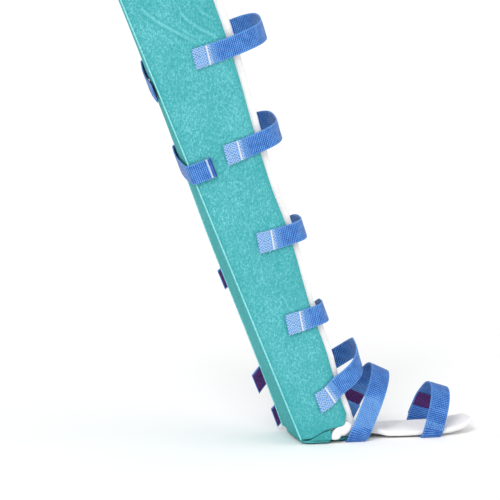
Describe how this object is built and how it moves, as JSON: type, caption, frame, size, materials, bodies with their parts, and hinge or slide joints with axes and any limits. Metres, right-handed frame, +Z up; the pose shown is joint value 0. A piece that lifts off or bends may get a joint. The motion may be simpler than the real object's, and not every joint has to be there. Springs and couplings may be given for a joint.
{
  "type": "full leg immobilizer splint with foot piece",
  "caption": "Padded leg immobilizer: three fabric panels and a soft lining form an open trough from thigh to heel, with webbing straps and a strapped sole pad.",
  "frame": {"origin": "middle of the leg channel at the knee, where the leg holds the splint", "axes": "+Z up, +X towards the toes, +Y towards the inner side of the leg; the leg piece leans 22.2 degrees back from upright, as worn in mid step"},
  "size_m": [0.5908, 0.1981, 0.8062],
  "materials": {
    "teal_fabric": "brushed loop fabric over foam",
    "back_fabric": "brushed loop fabric, darker",
    "piping": "fine corded edge",
    "lining": "soft napped padding",
    "webbing": "ribbed polyester webbing",
    "hook_tape": "hook tape"
  },
  "bodies": {
    "root": {"lateral_panel": "teal_fabric", "medial_panel": "teal_fabric", "back_panel": "back_fabric", "corner_piping_lateral": "piping", "corner_piping_medial": "piping", "leg_lining": "lining", "heel_gusset_lateral": "back_fabric", "heel_gusset_medial": "back_fabric", "ankle_roll_lateral": "lining", "ankle_roll_medial": "lining", "outsole": "back_fabric", "sole_pad": "lining", "strap_thigh": "webbing", "hook_tape_thigh": "hook_tape", "strap_knee": "webbing", "hook_tape_knee": "hook_tape", "strap_calf": "webbing", "hook_tape_calf": "hook_tape", "strap_shin": "webbing", "hook_tape_shin": "hook_tape", "strap_ankle": "webbing", "hook_tape_ankle": "hook_tape", "strap_instep": "webbing", "hook_tape_instep": "hook_tape", "strap_toe": "webbing", "hook_tape_toe": "hook_tape"}
  },
  "joints": []
}
